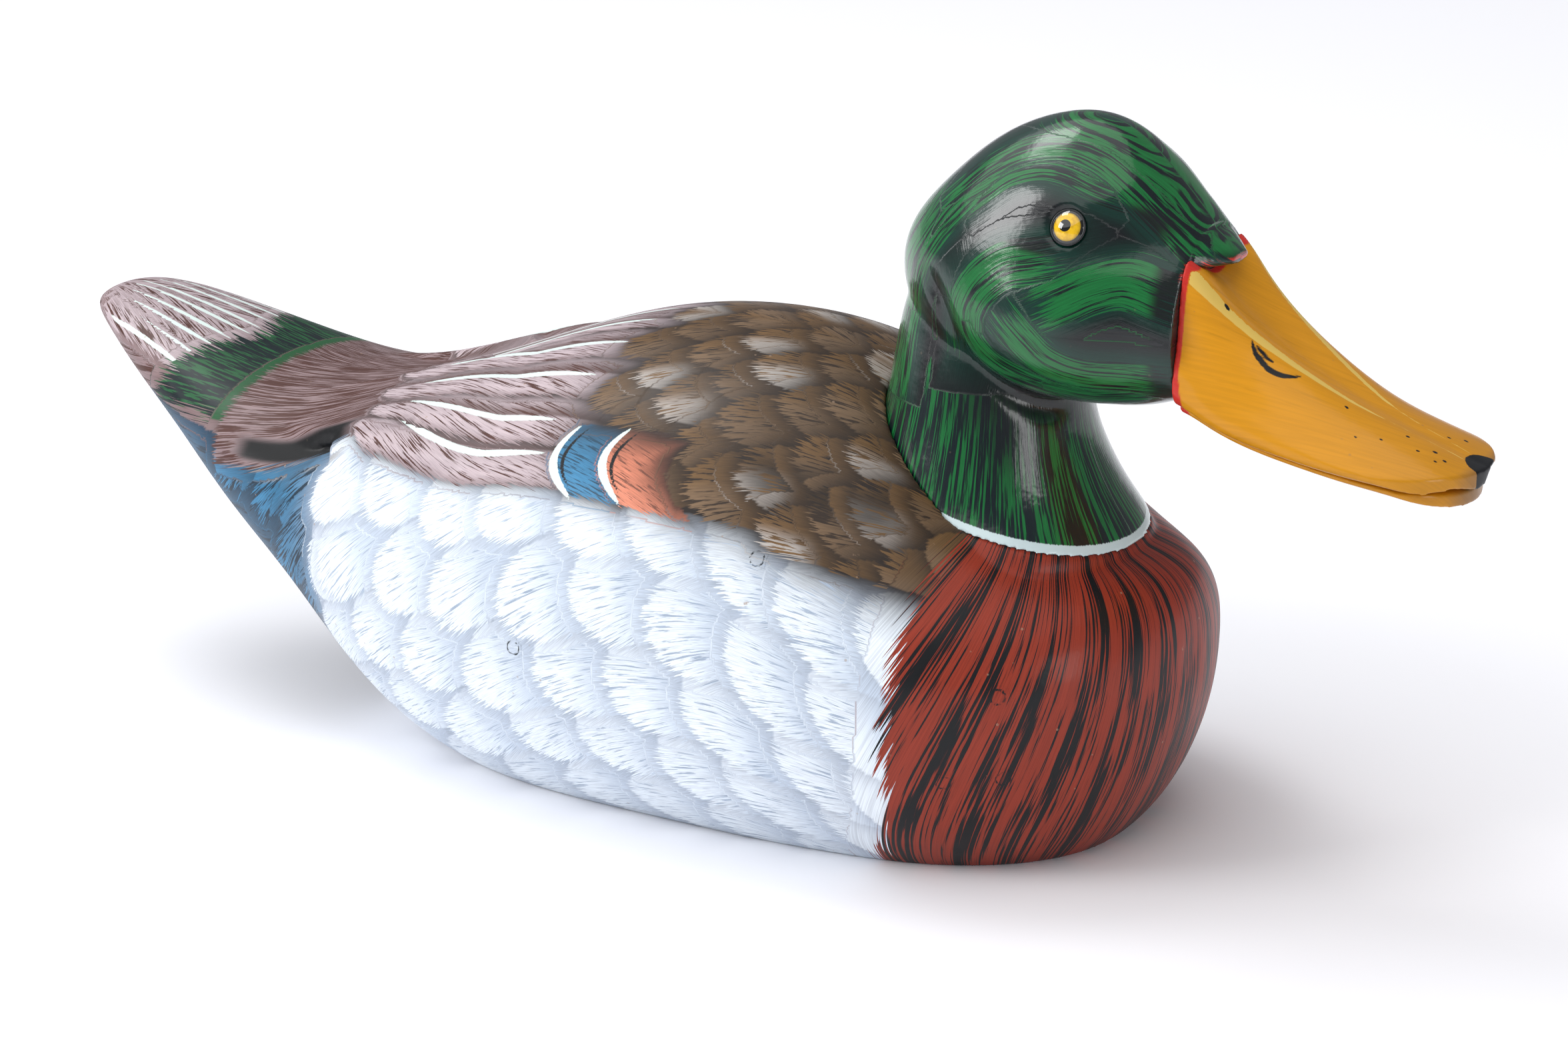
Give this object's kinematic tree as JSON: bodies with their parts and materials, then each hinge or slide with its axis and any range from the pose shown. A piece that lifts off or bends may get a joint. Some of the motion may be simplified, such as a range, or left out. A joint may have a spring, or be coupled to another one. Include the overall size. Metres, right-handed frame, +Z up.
{
  "type": "floating duck decoy",
  "caption": "Carved and painted wooden drake mallard decoy with a hollow body, glass eyes, a ballast bar and a swinging line-tie ring under the breast",
  "frame": {"origin": "On the plane of the flat bottom, under the middle of the decoy's bounding box; the middle plane of the bird is y = 0.", "axes": "+X points forward, to the bill; +Y to the duck's left; +Z up."},
  "size_m": [0.395, 0.146, 0.1788],
  "materials": {
    "painted_body": "oil-painted softwood, hand-brushed feathers, worn through in places, satin varnish",
    "painted_head": "oil-painted softwood, fine green strokes over black, high-gloss varnish",
    "bill_paint": "ochre oil paint over wood, chipped at the tip, glossy",
    "eye_glass": "yellow glass eye with a black pupil and a dark rim, polished",
    "putty": "black-painted putty",
    "plug_wood": "filler and dowel ends, painted over and worn",
    "dowel_wood": "plain beech, glued",
    "steel": "zinc-plated steel",
    "brass": "dull brass",
    "lead": "cast lead bar, dull grey",
    "wire": "brass wire, tarnished"
  },
  "bodies": {
    "decoy": {"body_upper": "painted_body", "body_lower": "painted_body", "head": "painted_head", "upper_bill": "bill_paint", "lower_bill": "bill_paint", "eye_right": "eye_glass", "eye_left": "eye_glass", "eye_putty": "putty", "eye_wires": "wire", "flank_plugs": "plug_wood", "neck_dowel": "dowel_wood", "body_pins": "dowel_wood", "bill_dowel": "dowel_wood", "neck_screw": "steel", "neck_washer": "steel", "ballast_screws": "brass", "ballast_weight": "lead", "line_tie_staple": "wire"},
    "ring": {"line_tie_ring": "brass"}
  },
  "joints": [
    {"name": "line_tie_swing", "type": "hinge", "parent": "decoy", "child": "ring", "pos_m": [0.082, 0, 0.0155], "axis": [0, 1, 0], "range_deg": [-60, 60]}
  ]
}
